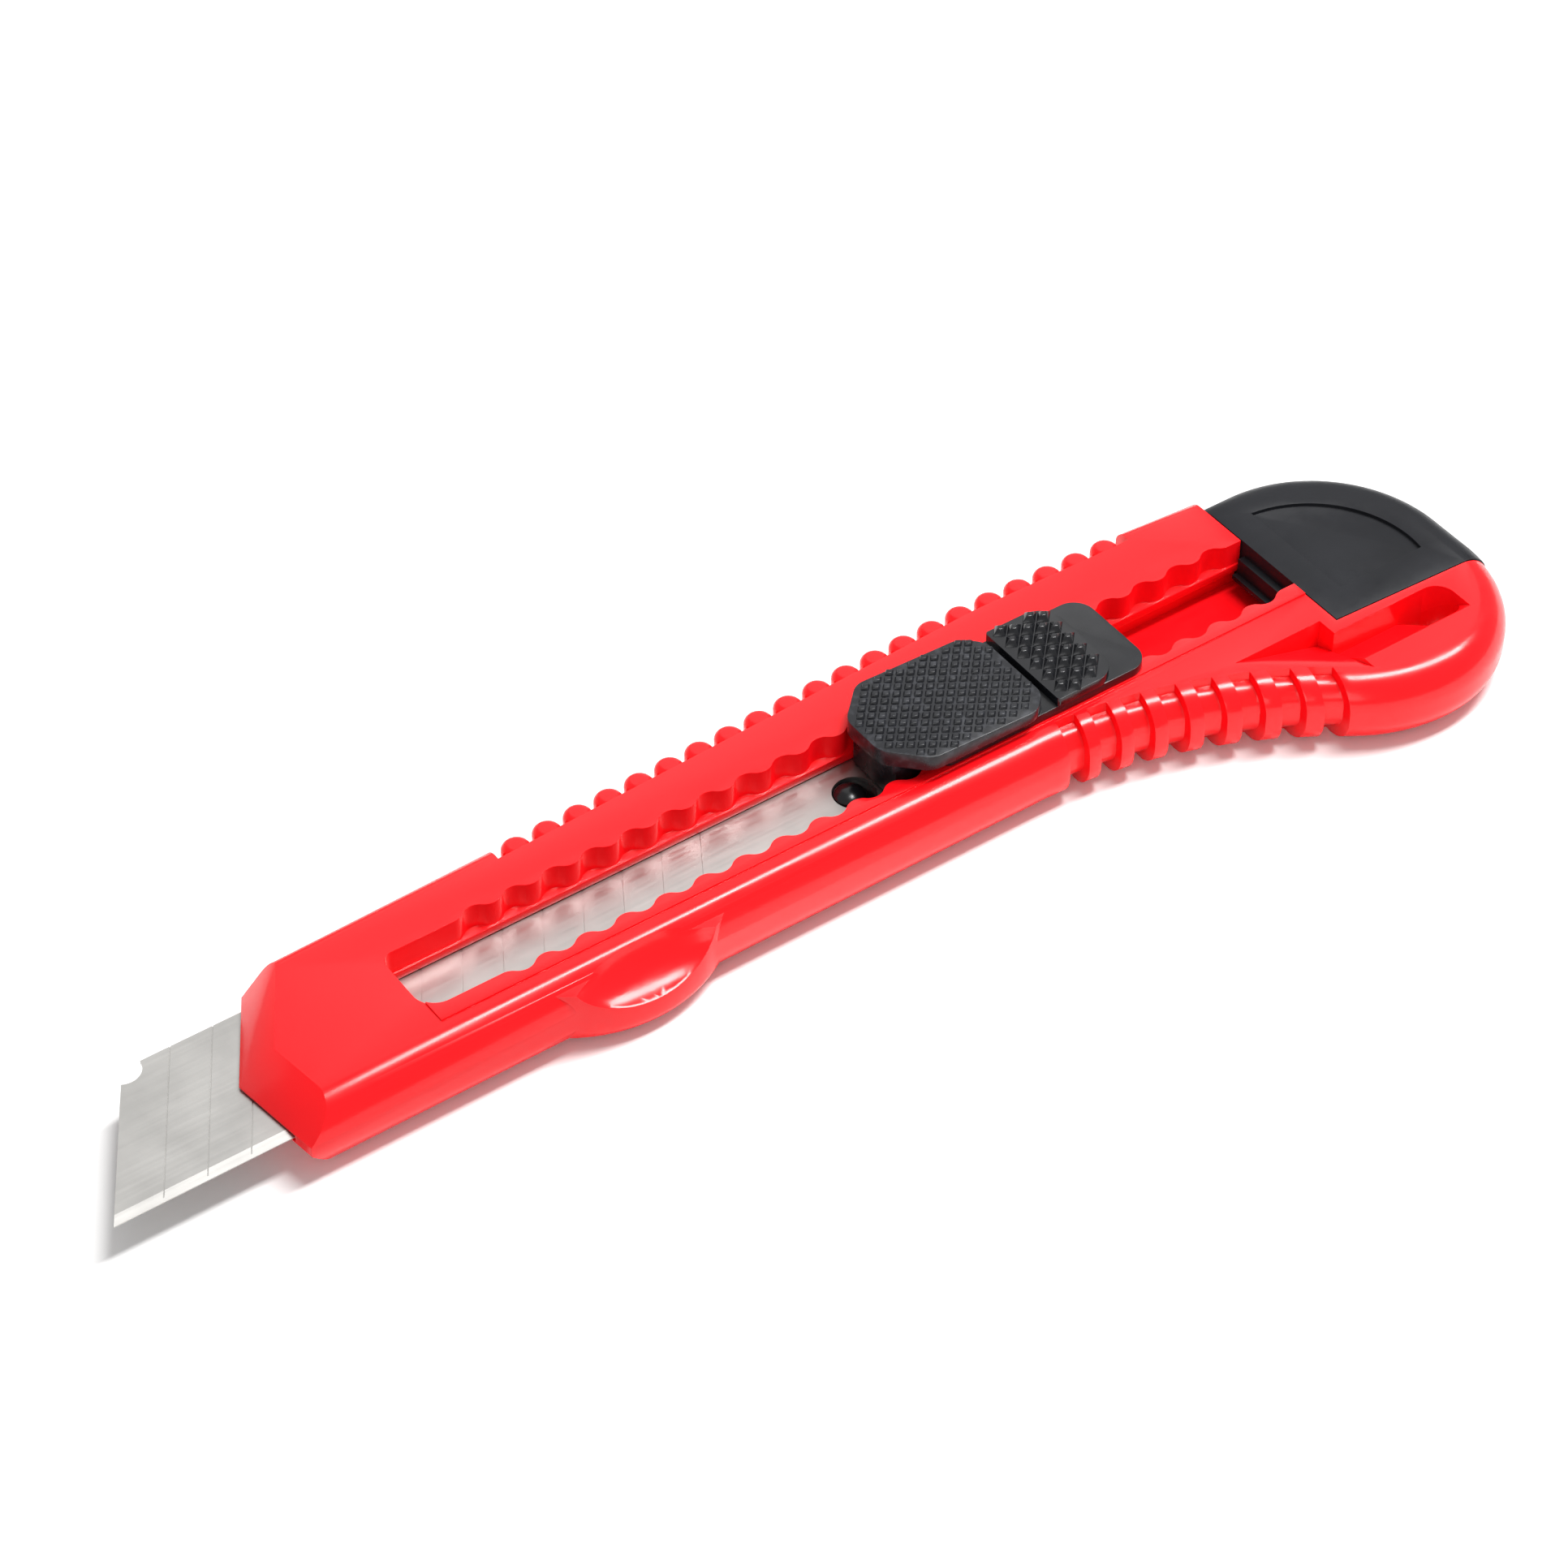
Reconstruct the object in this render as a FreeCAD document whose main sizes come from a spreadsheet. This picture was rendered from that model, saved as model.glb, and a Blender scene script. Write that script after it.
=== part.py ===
import FreeCAD, Part
import math
import os
import Sketcher
from FreeCAD import Placement, Rotation, Vector

# Snap-off utility knife. Millimetres. While a piece is drawn, x runs back from the blade's tip,
# y is measured from the blade's centreline (plus towards the spine) and z from the underside.
# The origin placement then moves every piece to the centre of the knife's footprint.

doc = FreeCAD.newDocument("UtilityKnife")
sheet = doc.addObject("Spreadsheet::Sheet", "Dims")


class Dim:
    """A size: its number, and the expression that gives it in the spreadsheet."""

    def __init__(self, value, text=None):
        self.value = float(value)
        self.text = text or repr(float(value))

    def __add__(self, other):
        other = dim(other)
        return Dim(self.value + other.value, "(%s + %s)" % (self.text, other.text))

    def __sub__(self, other):
        other = dim(other)
        return Dim(self.value - other.value, "(%s - %s)" % (self.text, other.text))

    def __mul__(self, other):
        other = dim(other)
        return Dim(self.value * other.value, "(%s * %s)" % (self.text, other.text))

    def __truediv__(self, other):
        other = dim(other)
        return Dim(self.value / other.value, "(%s / %s)" % (self.text, other.text))

    def __radd__(self, other):
        return dim(other) + self

    def __rsub__(self, other):
        return dim(other) - self

    def __rmul__(self, other):
        return dim(other) * self

    def __neg__(self):
        return dim(0) - self


def dim(value):
    return value if isinstance(value, Dim) else Dim(value)


def sine(angle):
    return Dim(math.sin(math.radians(angle.value)), "sin(%s * 1 deg)" % angle.text)


def cosine(angle):
    return Dim(math.cos(math.radians(angle.value)), "cos(%s * 1 deg)" % angle.text)


def root(value):
    return Dim(math.sqrt(value.value), "sqrt(%s)" % value.text)


sheet_rows = []


def size(alias, value):
    """Write a driving dimension to the next row of the sheet and return it as a Dim."""
    sheet_rows.append(alias)
    address = "B%d" % len(sheet_rows)
    sheet.set("A%d" % len(sheet_rows), alias)
    sheet.set(address, "%g" % value)
    sheet.setAlias(address, alias)
    return Dim(value, "Dims." + alias)


# ---- driving dimensions ----
# casing; a cutting sketch runs past the material by the overcut, joined blocks sink in by the weld
overcut = size("overcut", 1.0)
weld = size("weld", 0.2)
thickness = size("casing_thickness", 9.0)
near_wall = size("near_wall", 11.85)
near_round = size("near_round", 3.8)
far_round = size("far_round", 1.8)
nose_x = size("nose_x", 19.2)
nose_y = size("nose_y", -0.35)
nose_corner_x = size("nose_corner_x", 20.9)
nose_bevel = size("nose_bevel", 3.85)
cut_slope = size("cut_slope", 0.6)
far_front = size("far_front", 10.4)
far_shoulder_x = size("far_shoulder_x", 56.3)
far_shoulder_y = size("far_shoulder_y", 11.3)
rack_front_y = size("rack_front_y", 8.95)
rack_top_x = size("rack_top_x", 121.0)
rack_top_y = size("rack_top_y", 11.65)
rack_end_x = size("rack_end_x", 142.3)
rack_end_y = size("rack_end_y", 11.15)
rear_shoulder_y = size("rear_shoulder_y", 13.5)
shoulder_gap = size("shoulder_gap", 0.3)
seat_x = size("seat_x", 152.5)
seat_far_y = size("seat_far_y", 12.8)
seat_below = size("seat_below", 2.1)
seat_fall = size("seat_fall", 0.9)
grip_x = size("grip_x", 112.5)
grip_radius = size("grip_radius", 57.3)
butt_y = size("butt_y", 27.0)
butt_front_radius = size("butt_front_radius", 20.0)
butt_radius = size("butt_radius", 16.0)
# ribs along the far edge
bump_radius = size("bump_radius", 1.7)
bump_height = size("bump_height", 2.5)
bump_pitch = size("bump_pitch", 4.02)
bump_drop = size("bump_drop", 0.15)
bump_round = size("bump_round", 1.0)
bump_first = size("bump_first", 2.8)
rise_count = 16
fall_count = 5
# window and channel
slide_y = size("slide_y", -1.0)
window_front = size("window_front", 38.5)
window_half = size("window_half", 4.7)
window_near_corner = size("window_near_corner", 2.7)
window_far_corner = size("window_far_corner", 1.4)
ledge = size("ledge", 0.25)
wave_pitch = size("wave_pitch", 4.91)
wave_depth = size("wave_depth", 0.93)
wave_start = size("wave_start", 47.6)
wave_level = size("wave_level", 3.1)
strip_height = size("strip_height", 0.2)
strip_y = size("strip_y", -7.7)
strip_front = size("strip_front", 39.0)
slot_gap = size("slot_gap", 0.2)
groove_half = size("groove_half", 5.4)
groove_depth = size("groove_depth", 1.45)
groove_front = size("groove_front", 40.0)
# finger bulge
bulge_x = size("bulge_x", 61.2)
bulge_radius = size("bulge_radius", 17.0)
bulge_out = size("bulge_out", 2.4)
bulge_base = size("bulge_base", 0.6)
bulge_drop = size("bulge_drop", 1.0)
bulge_round = size("bulge_round", 2.0)
dish_length = size("dish_length", 11.5)
dish_width = size("dish_width", 6.2)
dish_depth = size("dish_depth", 5.0)
dish_out = size("dish_out", 3.6)
dish_lift = size("dish_lift", 0.6)
# grip pockets
grip_pitch = size("grip_pitch", 3.98)
grip_first_x = size("grip_first_x", 118.3)
grip_width = size("grip_width", 2.5)
grip_depth = size("grip_depth", 1.25)
grip_inset = size("grip_inset", 3.9)
grip_reach = size("grip_reach", 4.0)
grip_count = 8
grip_tilt = size("grip_tilt", 9.0)
# butt pocket and lanyard hole
pocket_front = size("pocket_front", 138.8)
pocket_step_x = size("pocket_step_x", 150.9)
pocket_below = size("pocket_below", 1.5)
pocket_depth = size("pocket_depth", 3.6)
pocket_run = size("pocket_run", 5.2)
pocket_round = size("pocket_round", 2.4)
lanyard_x = size("lanyard_x", 160.3)
lanyard_end = size("lanyard_end", 166.3)
lanyard_width = size("lanyard_width", 5.0)
ramp_above = size("ramp_above", 1.0)
ramp_turn = size("ramp_turn", 38.0)
ramp_slope = size("ramp_slope", 0.5)
ramp_depth = size("ramp_depth", 4.3)
ramp_reach = size("ramp_reach", 10.0)
ramp_half = size("ramp_half", 20.0)
# blade
blade_width = size("blade_width", 18.0)
blade_length = size("blade_length", 100.0)
blade_thick = size("blade_thick", 0.5)
score_pitch = size("score_pitch", 5.0)
score_depth = size("score_depth", 0.12)
score_width = size("score_width", 0.16)
score_count = 14
edge_bevel = size("edge_bevel", 1.2)
notch_radius = size("notch_radius", 2.1)
# carrier
pin_radius = size("pin_radius", 1.8)
pin_x = size("pin_x", 94.7)
pin_rise = size("pin_rise", 0.9)
pin_dome = size("pin_dome", 0.7)
pin_play = size("pin_play", 0.7)
pin_clear = size("pin_clear", 0.1)
plate_front = size("plate_front", 91.2)
plate_end = size("plate_end", 128.5)
running_gap = size("running_gap", 0.2)
neck_front = size("neck_front", 108.6)
neck_end = size("neck_end", 126.0)
neck_half = size("neck_half", 3.6)
guide_front = size("guide_front", 118.2)
cover_front = size("cover_front", 102.7)
cover_end = size("cover_end", 130.7)
cover_half = size("cover_half", 6.55)
cover_thick = size("cover_thick", 1.05)
cover_front_round = size("cover_front_round", 1.0)
cover_rear_round = size("cover_rear_round", 2.6)
rear_pad_front = size("rear_pad_front", 117.7)
rear_pad_end = size("rear_pad_end", 126.1)
rear_pad_half = size("rear_pad_half", 6.7)
rear_pad_height = size("rear_pad_height", 1.15)
rear_pad_front_round = size("rear_pad_front_round", 0.4)
rear_pad_rear_round = size("rear_pad_rear_round", 3.0)
# thumb button
button_front = size("button_front", 96.3)
button_end = size("button_end", 116.7)
button_half = size("button_half", 7.2)
button_front_corner = size("button_front_corner", 4.2)
button_rear_corner = size("button_rear_corner", 2.2)
button_front_height = size("button_front_height", 3.7)
button_rear_height = size("button_rear_height", 2.8)
button_blend = size("button_blend", 2.6)
foot_front = size("foot_front", 97.4)
foot_end = size("foot_end", 101.4)
foot_half = size("foot_half", 4.1)
stem_front = size("stem_front", 97.9)
stem_half = size("stem_half", 3.9)
key_front = size("key_front", 110.6)
key_end = size("key_end", 114.2)
key_half = size("key_half", 1.2)
key_travel = size("key_travel", 1.2)
key_depth = size("key_depth", 1.6)
# lock spring
spring_thick = size("spring_thick", 0.4)
spring_height = size("spring_height", 2.0)
spring_lift = size("spring_lift", 0.4)
tooth_x = size("tooth_x", 113.9)
tooth_half = size("tooth_half", 0.6)
tooth_flank = size("tooth_flank", 1.0)
spring_end = size("spring_end", 117.4)
# end cap
fit_gap = size("fit_gap", 0.15)
cap_y = size("cap_y", -5.2)
cap_radius = size("cap_radius", 17.4)
cap_round = size("cap_round", 3.4)
panel_front = size("panel_front", 156.5)
panel_low = size("panel_low", -9.0)
panel_x = size("panel_x", 155.2)
panel_y = size("panel_y", -6.6)
panel_radius = size("panel_radius", 13.4)
panel_depth = size("panel_depth", 0.45)
prong_length = size("prong_length", 6.5)
prong_inner = size("prong_inner", 7.1)
prong_width = size("prong_width", 2.6)
prong_low = size("prong_low", 3.1)
prong_high = size("prong_high", 5.9)
tongue_half = size("tongue_half", 4.1)
tongue_drop = size("tongue_drop", 2.0)
tongue_length = size("tongue_length", 0.7)
tongue_root = size("tongue_root", 1.5)
doc.recompute()

# ---- sizes that follow ----
mid = thickness / 2
blade_low = mid - blade_thick / 2
blade_high = mid + blade_thick / 2
blade_half = blade_width / 2
slot_low = blade_low - slot_gap
slot_high = blade_high + slot_gap
slot_half = blade_half + slot_gap
wave_floor = thickness - wave_level
spring_low = wave_floor + spring_lift
far_nose_x = nose_x + cut_slope * (far_front - nose_y)
grip_centre_y = -near_wall - grip_radius
butt_front_y = butt_front_radius - butt_y
reach = grip_radius + butt_front_radius
rise = butt_front_y - grip_centre_y
butt_x = grip_x + root(reach * reach - rise * rise)
blend_x = grip_x + grip_radius * (butt_x - grip_x) / reach
blend_y = grip_centre_y + grip_radius * rise / reach
butt_centre_y = butt_radius - butt_y
seat_near_y = butt_centre_y - seat_below
seat_end_y = seat_near_y - seat_fall
pocket_wall_y = seat_near_y - pocket_below
ramp_wall_y = seat_near_y + ramp_above
seat_drop = butt_centre_y - seat_end_y
right_x = butt_x + root(butt_radius * butt_radius - seat_drop * seat_drop)
back_x = butt_x + butt_radius
centre_x = back_x / 2
centre_y = (rack_top_y + bump_height - butt_y) / 2
cover_low = thickness + strip_height + slot_gap / 2
cover_high = cover_low + cover_thick


# ---- helpers ----
def bind(obj, prop, value):
    value = dim(value)
    obj.setExpression(prop, value.text)


def new_body(name):
    return doc.addObject("PartDesign::Body", name)


def plane_of(body, role):
    return [item for item in body.Origin.OriginFeatures if item.Role == role][0]


def new_sketch(body, name, role="XY_Plane", level=None, shift=None, turn=0):
    """A sketch on one of the body's origin planes, lifted by level along its normal."""
    sketch = body.newObject("Sketcher::SketchObject", name)
    sketch.AttachmentSupport = [(plane_of(body, role), "")]
    sketch.MapMode = "FlatFace"
    shift = shift or (dim(0), dim(0))
    level = dim(0) if level is None else dim(level)
    base = Vector(dim(shift[0]).value, dim(shift[1]).value, level.value)
    sketch.AttachmentOffset = Placement(base, Rotation(Vector(0, 0, 1), turn))
    for axis, value in zip("xyz", (shift[0], shift[1], level)):
        bind(sketch, "AttachmentOffset.Base." + axis, value)
    return sketch


def pin_point(sketch, geometry, position, point):
    """Fix a point of the geometry at its x and y, both bound to the sheet."""
    for kind, value in (("DistanceX", dim(point[0])), ("DistanceY", dim(point[1]))):
        number = value.value
        rule = Sketcher.Constraint(kind, -1, 1, geometry, position, number)
        index = sketch.addConstraint(rule)
        sketch.setExpression("Constraints[%d]" % index, value.text)


def draw_loop(sketch, start, steps):
    """Draw a closed outline. A step is an end point, or an end point, a centre and a direction:
    +1 for an arc drawn anticlockwise and -1 for one drawn clockwise."""
    here = start
    pieces = []
    for step in steps:
        flat = step[0] if isinstance(step[0], tuple) else step
        a = Vector(dim(here[0]).value, dim(here[1]).value, 0)
        b = Vector(dim(flat[0]).value, dim(flat[1]).value, 0)
        if isinstance(step[0], tuple):
            centre = Vector(dim(step[1][0]).value, dim(step[1][1]).value, 0)
            first, last = (a, b) if step[2] > 0 else (b, a)
            angles = [math.atan2(p.y - centre.y, p.x - centre.x) for p in (first, last)]
            circle = Part.Circle(centre, Vector(0, 0, 1), (a - centre).Length)
            index = sketch.addGeometry(Part.ArcOfCircle(circle, angles[0], angles[1]))
            ends = (1, 2) if step[2] > 0 else (2, 1)
            span_x = dim(here[0]) - step[1][0]
            span_y = dim(here[1]) - step[1][1]
            radius = root(span_x * span_x + span_y * span_y)
            pieces.append((index, ends, flat, radius))
        else:
            index = sketch.addGeometry(Part.LineSegment(a, b))
            pieces.append((index, (1, 2), flat, None))
        here = flat
    for place, (index, ends, point, radius) in enumerate(pieces):
        following = pieces[(place + 1) % len(pieces)]
        sketch.addConstraint(Sketcher.Constraint("Coincident", index, ends[1], following[0], following[1][0]))
        pin_point(sketch, index, ends[1], point)
        if radius is not None:
            number = sketch.addConstraint(Sketcher.Constraint("Radius", index, radius.value))
            sketch.setExpression("Constraints[%d]" % number, radius.text)


def draw_box(sketch, low, high):
    draw_loop(sketch, low, [(high[0], low[1]), high, (low[0], high[1]), low])


def draw_circle(sketch, centre, radius):
    place = Vector(dim(centre[0]).value, dim(centre[1]).value, 0)
    index = sketch.addGeometry(Part.Circle(place, Vector(0, 0, 1), dim(radius).value))
    pin_point(sketch, index, 3, centre)
    number = sketch.addConstraint(Sketcher.Constraint("Radius", index, dim(radius).value))
    sketch.setExpression("Constraints[%d]" % number, dim(radius).text)


def corner_steps(point, before, after, radius):
    """Two steps that round a square corner: a line to the arc and the arc. before and after are
    unit directions along the axes."""
    into = (point[0] - radius * before[0], point[1] - radius * before[1])
    out = (point[0] + radius * after[0], point[1] + radius * after[1])
    centre = (into[0] + radius * after[0], into[1] + radius * after[1])
    turn = 1 if before[0] * after[1] - before[1] * after[0] > 0 else -1
    return [into, (out, centre, turn)]


def pad(body, sketch, name, length, reverse=False):
    feature = body.newObject("PartDesign::Pad", name)
    feature.Profile = sketch
    feature.Length = dim(length).value
    bind(feature, "Length", length)
    feature.Reversed = reverse
    doc.recompute()
    return feature


def pocket(body, sketch, name, length, reverse=False):
    """Cut the sketch length deep, and make sure that it removed material."""
    before = body.Shape.Volume
    feature = body.newObject("PartDesign::Pocket", name)
    feature.Profile = sketch
    feature.Length = dim(length).value
    bind(feature, "Length", length)
    feature.Reversed = reverse
    doc.recompute()
    if not body.Shape.Volume < before - 1e-6:
        raise RuntimeError("%s cut nothing" % name)
    return feature


def edges_where(feature, test):
    """Names of the feature's edges whose middle point passes the test."""
    names = []
    for number, edge in enumerate(feature.Shape.Edges, 1):
        first, last = edge.ParameterRange
        if test(edge.valueAt((first + last) / 2), edge):
            names.append("Edge%d" % number)
    return names


def fillet(body, feature, name, radius, test):
    rounding = body.newObject("PartDesign::Fillet", name)
    rounding.Base = (feature, edges_where(feature, test))
    rounding.Radius = dim(radius).value
    bind(rounding, "Radius", radius)
    doc.recompute()
    return rounding


def linear(body, name, features, direction, length, count):
    pattern = body.newObject("PartDesign::LinearPattern", name)
    pattern.Originals = features
    pattern.Direction = direction
    pattern.Length = dim(length).value
    bind(pattern, "Length", length)
    pattern.Occurrences = count
    body.Tip = pattern
    doc.recompute()
    return pattern


def at_level(point, *levels):
    return any(abs(point.z - dim(level).value) < 1e-4 for level in levels)


def bump_row(body, name, start, finish, first_x, count):
    """Ribs with rounded tops, stood in a row along the far edge from start towards finish."""
    slope = (finish[1] - start[1]) / (finish[0] - start[0])
    centre_line = start[1] + slope * (first_x - start[0]) - bump_radius + bump_height
    profile = new_sketch(body, name + "Profile", "XZ_Plane", level=-centre_line, shift=(first_x, 0))
    low = bump_drop
    high = thickness - bump_drop
    steps = [
        (bump_radius - bump_round, low),
        ((bump_radius, low + bump_round), (bump_radius - bump_round, low + bump_round), 1),
        (bump_radius, high - bump_round),
        ((bump_radius - bump_round, high), (bump_radius - bump_round, high - bump_round), 1),
        (dim(0), high),
        (dim(0), low),
    ]
    draw_loop(profile, (dim(0), low), steps)
    turned = body.newObject("PartDesign::Revolution", name)
    turned.Profile = profile
    turned.ReferenceAxis = (profile, ["V_Axis"])
    turned.Angle = 360
    doc.recompute()
    guide = new_sketch(body, name + "Guide")
    length = bump_pitch * (count - 1)
    draw_guide = guide.addGeometry(Part.LineSegment(
        Vector(start[0].value, start[1].value, 0), Vector(finish[0].value, finish[1].value, 0)))
    pin_point(guide, draw_guide, 1, start)
    pin_point(guide, draw_guide, 2, finish)
    doc.recompute()
    return linear(body, name + "Row", [turned], (guide, ["Edge1"]), length, count)


# ---- casing ----
def casing_outline(sketch):
    steps = [
        (nose_corner_x, -near_wall),
        (grip_x, -near_wall),
        ((blend_x, blend_y), (grip_x, grip_centre_y), -1),
        ((butt_x, -butt_y), (butt_x, butt_front_y), 1),
        ((right_x, seat_end_y), (butt_x, butt_centre_y), 1),
        (seat_x, seat_near_y),
        (seat_x, seat_far_y),
        (rack_end_x + shoulder_gap, rear_shoulder_y),
        (rack_top_x, rack_top_y + far_shoulder_y - rack_front_y),
        (far_shoulder_x, far_shoulder_y),
        (far_nose_x, far_front),
        (nose_x, nose_y),
    ]
    draw_loop(sketch, (nose_x, nose_y), steps)


def on_nose_front(point, edge):
    """True for the two slanted front edges of the nose, above and below."""
    return at_level(point, 0, thickness) and point.x < far_nose_x.value


def on_near_edge(point, edge):
    if not at_level(point, 0, thickness):
        return False
    along_wall = abs(point.y + near_wall.value) < 1e-3 and point.x > nose_x.value
    round_the_butt = point.y < seat_end_y.value
    return along_wall or round_the_butt


def on_far_edge(point, edge):
    outer = point.y > far_front.value - weld.value and edge.Length > far_round.value * 5
    return at_level(point, 0, thickness) and outer


def wave_lobe(sketch, side):
    """One hollow of the wavy edge: half a crest, a valley and half a crest, on tangent arcs."""
    quarter = wave_pitch / 4
    half_depth = wave_depth / 2
    radius = (quarter * quarter + half_depth * half_depth) / (2 * half_depth)
    x0 = wave_start
    inner = slide_y + side * window_half
    middle = inner + side * half_depth
    outer = inner + side * wave_depth
    x1 = x0 + quarter
    x2 = x0 + quarter * 2
    x3 = x0 + quarter * 3
    x4 = x0 + wave_pitch
    crest_centre = inner + side * radius
    valley_centre = outer - side * radius
    steps = [
        ((x1, middle), (x0, crest_centre), side),
        ((x2, outer), (x2, valley_centre), -side),
        ((x3, middle), (x2, valley_centre), -side),
        ((x4, inner), (x4, crest_centre), side),
        (x4, inner - side),
        (x0, inner - side),
        (x0, inner),
    ]
    draw_loop(sketch, (x0, inner), steps)


def make_casing_blank():
    body = new_body("CasingBlank")
    outline = new_sketch(body, "CasingOutline")
    casing_outline(outline)
    block = pad(body, outline, "CasingBlock", thickness)

    bevel = body.newObject("PartDesign::Chamfer", "NoseBevel")
    bevel.Base = (block, edges_where(block, on_nose_front))
    bevel.Size = nose_bevel.value
    bind(bevel, "Size", nose_bevel)
    doc.recompute()
    near = fillet(body, bevel, "NearRound", near_round, on_near_edge)
    fillet(body, near, "FarRound", far_round, on_far_edge)

    # ribs along the far edge, in a shallow cut-back, on its rising and its falling run
    rack = new_sketch(body, "Rack", level=thickness)
    steps = [
        (rack_top_x, rack_top_y),
        (rack_end_x, rack_end_y),
        (rack_end_x, rear_shoulder_y + overcut),
        (far_shoulder_x, rear_shoulder_y + overcut),
        (far_shoulder_x, rack_front_y),
    ]
    draw_loop(rack, (far_shoulder_x, rack_front_y), steps)
    pocket(body, rack, "RackCut", thickness)
    rise_start = (far_shoulder_x, rack_front_y)
    rise_end = (rack_top_x, rack_top_y)
    bump_row(body, "RisingBumps", rise_start, rise_end, far_shoulder_x + bump_first, rise_count)
    fall_end = (rack_end_x, rack_end_y)
    next_x = far_shoulder_x + bump_first + bump_pitch * rise_count
    bump_row(body, "FallingBumps", rise_end, fall_end, next_x, fall_count)

    # finger bulge on the near side
    disc = new_sketch(body, "BulgeDisc", level=bulge_base)
    bulge_y = bulge_radius - near_wall - bulge_out
    root_y = near_round - near_wall
    half = root(bulge_radius * bulge_radius - (bulge_y - root_y) * (bulge_y - root_y))
    steps = [((bulge_x + half, root_y), (bulge_x, bulge_y), 1), (bulge_x - half, root_y)]
    draw_loop(disc, (bulge_x - half, root_y), steps)
    bulge = pad(body, disc, "Bulge", thickness - bulge_base - bulge_drop)

    def on_bulge_rim(point, edge):
        return point.y < -near_wall.value - weld.value and at_level(point, bulge_base)

    fillet(body, bulge, "BulgeRound", bulge_round, on_bulge_rim)

    # raised strip beside the near wave
    strip = new_sketch(body, "Strip", level=thickness)
    draw_box(strip, (strip_front, strip_y), (seat_x, slide_y))
    pad(body, strip, "StripPad", strip_height)

    # blade slot, carrier groove and the straight walls of the window
    slot = new_sketch(body, "BladeSlot", "YZ_Plane", level=seat_x)
    draw_box(slot, (-slot_half, slot_low), (slot_half, slot_high))
    pocket(body, slot, "BladeSlotCut", seat_x - nose_x + overcut)
    groove = new_sketch(body, "Groove", level=slot_high)
    draw_box(groove, (groove_front, slide_y - groove_half), (seat_x + overcut, slide_y + groove_half))
    pocket(body, groove, "GrooveCut", slot_high - slot_low + groove_depth)
    for name, half, depth in (
        ("WindowLow", window_half - ledge, thickness + strip_height - mid),
        ("WindowHigh", window_half, wave_level + strip_height),
    ):
        window = new_sketch(body, name, level=thickness + strip_height)
        low = (window_front, slide_y - half)
        high = (seat_x + overcut, slide_y + half)
        steps = [(high[0], low[1]), high]
        steps += corner_steps((low[0], high[1]), (-1, 0), (0, -1), window_far_corner)
        steps += corner_steps(low, (0, -1), (1, 0), window_near_corner)
        draw_loop(window, (low[0] + window_near_corner, low[1]), steps)
        pocket(body, window, name + "Cut", depth)

    # wavy edges, cut only as deep as the ledge
    count = int(math.floor((seat_x.value - wave_start.value) / wave_pitch.value))
    for name, side in (("NearWave", -1), ("FarWave", 1)):
        lobe = new_sketch(body, name, level=thickness + strip_height)
        wave_lobe(lobe, side)
        first = pocket(body, lobe, name + "Cut", wave_level + strip_height)
        linear(body, name + "Row", [first], (lobe, ["H_Axis"]), wave_pitch * (count - 1), count)

    # lanyard hole, round at its rear end
    hole = new_sketch(body, "LanyardHole", level=thickness)
    radius = lanyard_width / 2
    far_y = pocket_wall_y
    near_y = pocket_wall_y - lanyard_width
    steps = [
        (lanyard_end - radius, near_y),
        ((lanyard_end, near_y + radius), (lanyard_end - radius, near_y + radius), 1),
        ((lanyard_end - radius, far_y), (lanyard_end - radius, near_y + radius), 1),
        (lanyard_x, far_y),
        (lanyard_x, near_y),
    ]
    draw_loop(hole, (lanyard_x, near_y), steps)
    pocket(body, hole, "LanyardCut", thickness)
    # sockets for the end cap's prongs
    socket = new_sketch(body, "Sockets", "YZ_Plane", level=seat_x)
    for side in (-1, 1):
        inner = slide_y + side * prong_inner
        outer = slide_y + side * (prong_inner + prong_width)
        low, high = (inner, outer) if side > 0 else (outer, inner)
        draw_box(socket, (low - fit_gap, prong_low - fit_gap), (high + fit_gap, prong_high + fit_gap))
    pocket(body, socket, "SocketCut", prong_length + fit_gap * 2)
    doc.recompute()
    return body


def make_grip_ring():
    """The channel that the grip pockets are cut to: it follows the hollow of the near side, and
    leaves a core with the side's own rounding, one grip_depth below the surface."""
    body = new_body("GripRing")
    profile = new_sketch(body, "GripProfile", "XZ_Plane", level=-grip_centre_y, shift=(grip_x, 0))
    inner = grip_radius + grip_inset
    face = grip_radius + grip_depth
    bend = grip_inset - grip_depth
    low = grip_depth
    high = thickness - grip_depth
    steps = [
        (inner, -overcut),
        (inner, low),
        ((face, low + bend), (inner, low + bend), -1),
        (face, high - bend),
        ((inner, high), (inner, high - bend), -1),
        (inner, thickness + overcut),
        (grip_radius - grip_reach, thickness + overcut),
        (grip_radius - grip_reach, -overcut),
    ]
    draw_loop(profile, (grip_radius - grip_reach, -overcut), steps)
    ring = body.newObject("PartDesign::Revolution", "GripTurn")
    ring.Profile = profile
    ring.ReferenceAxis = (profile, ["V_Axis"])
    ring.Angle = 360
    doc.recompute()
    return body


def make_box(name, sizes, corner, turn=None):
    """A box with its corner at the given point, turned about the vertical by an angle in degrees."""
    box = doc.addObject("Part::Box", name)
    for prop, value in zip(("Length", "Width", "Height"), sizes):
        bind(box, prop, value)
    start = Vector(*[dim(value).value for value in corner])
    box.Placement = Placement(start, Rotation(Vector(0, 0, 1), dim(turn or 0).value))
    for axis, value in zip("xyz", corner):
        bind(box, "Placement.Base." + axis, value)
    if turn is not None:
        bind(box, "Placement.Rotation.Angle", turn)
    return box


def boolean(kind, name, **links):
    result = doc.addObject("Part::" + kind, name)
    for prop, value in links.items():
        setattr(result, prop, value)
    return result


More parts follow.
